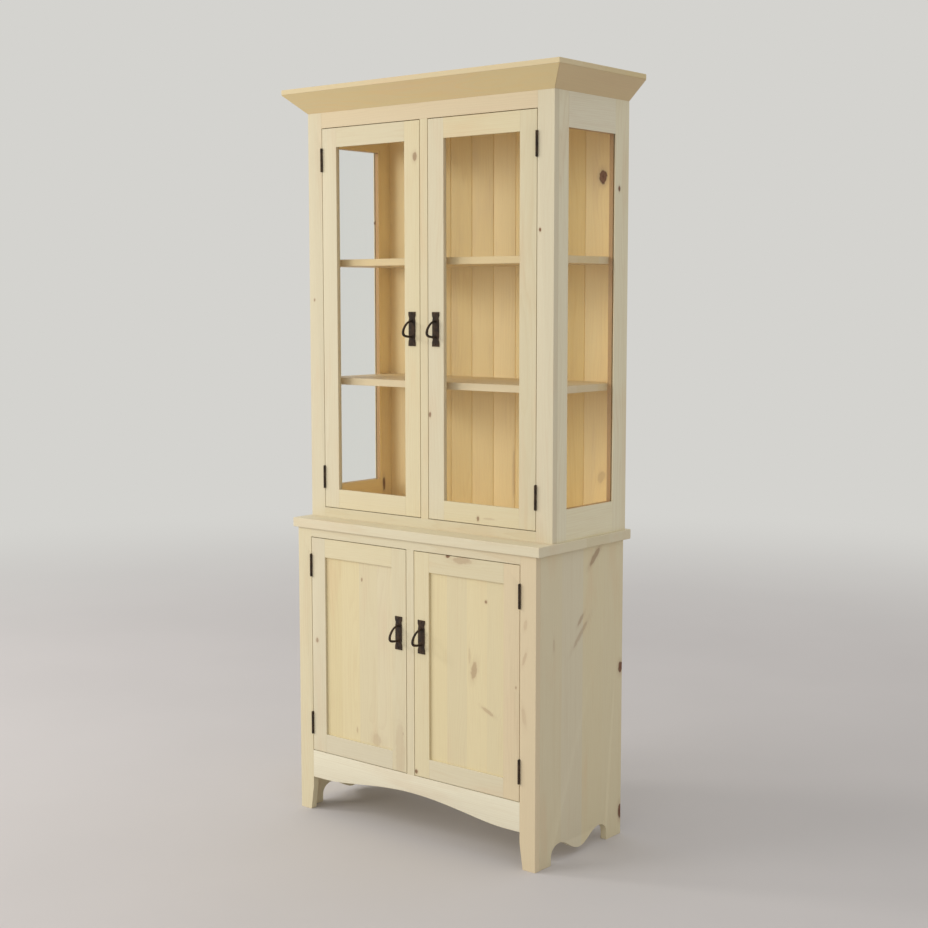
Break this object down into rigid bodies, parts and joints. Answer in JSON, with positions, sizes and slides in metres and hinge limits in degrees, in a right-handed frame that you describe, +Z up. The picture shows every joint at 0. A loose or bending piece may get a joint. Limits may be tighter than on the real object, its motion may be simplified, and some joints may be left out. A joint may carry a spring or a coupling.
{
  "type": "step back cupboard",
  "caption": "Tall wooden step back cupboard: a glazed upper cabinet with side windows and a sloped crown, set back on a deeper base with panelled doors, an arched apron and dark iron hardware.",
  "frame": {"origin": "on the floor, under the middle of the cupboard's overall box", "axes": "+Z up, -Y out of the front, +X to the right as seen from the front"},
  "size_m": [0.954, 0.4457, 2.032],
  "materials": {
    "pale_wood": "satin, pale unstained knotty pine",
    "inside_wood": "satin, warmer pine inside",
    "panel_wood": "satin, knotty pine panels",
    "dark_iron": "matte, near-black forged iron",
    "clear_glass": "clear"
  },
  "bodies": {
    "root": {"base_side_left": "pale_wood", "base_side_right": "pale_wood", "base_left_stile": "pale_wood", "base_right_stile": "pale_wood", "base_top_rail": "pale_wood", "base_centre_stile": "pale_wood", "base_apron": "pale_wood", "base_bottom_board": "pale_wood", "base_shelf": "pale_wood", "base_back": "pale_wood", "waist_board": "pale_wood", "upper_side_frame_left": "pale_wood", "upper_side_frame_right": "pale_wood", "side_pane_left": "clear_glass", "side_pane_right": "clear_glass", "side_glass_stop_left": "inside_wood", "side_glass_stop_right": "inside_wood", "upper_left_stile": "pale_wood", "upper_right_stile": "pale_wood", "upper_bottom_rail": "pale_wood", "upper_top_rail": "pale_wood", "upper_centre_stile": "pale_wood", "upper_bottom_board": "inside_wood", "upper_lower_shelf": "inside_wood", "upper_higher_shelf": "inside_wood", "upper_back": "inside_wood", "crown_front": "pale_wood", "crown_left": "pale_wood", "crown_right": "pale_wood", "crown_cap": "pale_wood", "base_left_door_lower_hinge_frame_leaf": "dark_iron", "base_left_door_higher_hinge_frame_leaf": "dark_iron", "base_right_door_lower_hinge_frame_leaf": "dark_iron", "base_right_door_higher_hinge_frame_leaf": "dark_iron", "upper_left_door_lower_hinge_frame_leaf": "dark_iron", "upper_left_door_higher_hinge_frame_leaf": "dark_iron", "upper_right_door_lower_hinge_frame_leaf": "dark_iron", "upper_right_door_higher_hinge_frame_leaf": "dark_iron"},
    "base_left_door": {"base_left_door_frame": "pale_wood", "base_left_door_panel": "panel_wood", "base_left_door_lower_hinge_door_leaf": "dark_iron", "base_left_door_higher_hinge_door_leaf": "dark_iron", "base_left_door_pull": "dark_iron"},
    "base_right_door": {"base_right_door_frame": "pale_wood", "base_right_door_panel": "panel_wood", "base_right_door_lower_hinge_door_leaf": "dark_iron", "base_right_door_higher_hinge_door_leaf": "dark_iron", "base_right_door_pull": "dark_iron"},
    "upper_left_door": {"upper_left_door_frame": "pale_wood", "upper_left_door_pane": "clear_glass", "upper_left_door_glass_stop": "pale_wood", "upper_left_door_lower_hinge_door_leaf": "dark_iron", "upper_left_door_higher_hinge_door_leaf": "dark_iron", "upper_left_door_pull": "dark_iron"},
    "upper_right_door": {"upper_right_door_frame": "pale_wood", "upper_right_door_pane": "clear_glass", "upper_right_door_glass_stop": "pale_wood", "upper_right_door_lower_hinge_door_leaf": "dark_iron", "upper_right_door_higher_hinge_door_leaf": "dark_iron", "upper_right_door_pull": "dark_iron"}
  },
  "joints": [
    {"name": "base_left_door_hinge", "type": "hinge", "parent": "root", "child": "base_left_door", "pos_m": [-0.369, -0.18525, 0.483], "axis": [0, 0, -1], "range_deg": [0, 170]},
    {"name": "base_right_door_hinge", "type": "hinge", "parent": "root", "child": "base_right_door", "pos_m": [0.369, -0.18525, 0.483], "axis": [0, 0, 1], "range_deg": [0, 170]},
    {"name": "upper_left_door_hinge", "type": "hinge", "parent": "root", "child": "upper_left_door", "pos_m": [-0.372, -0.12425, 1.3965], "axis": [0, 0, -1], "range_deg": [0, 170]},
    {"name": "upper_right_door_hinge", "type": "hinge", "parent": "root", "child": "upper_right_door", "pos_m": [0.372, -0.12425, 1.3965], "axis": [0, 0, 1], "range_deg": [0, 170]}
  ]
}
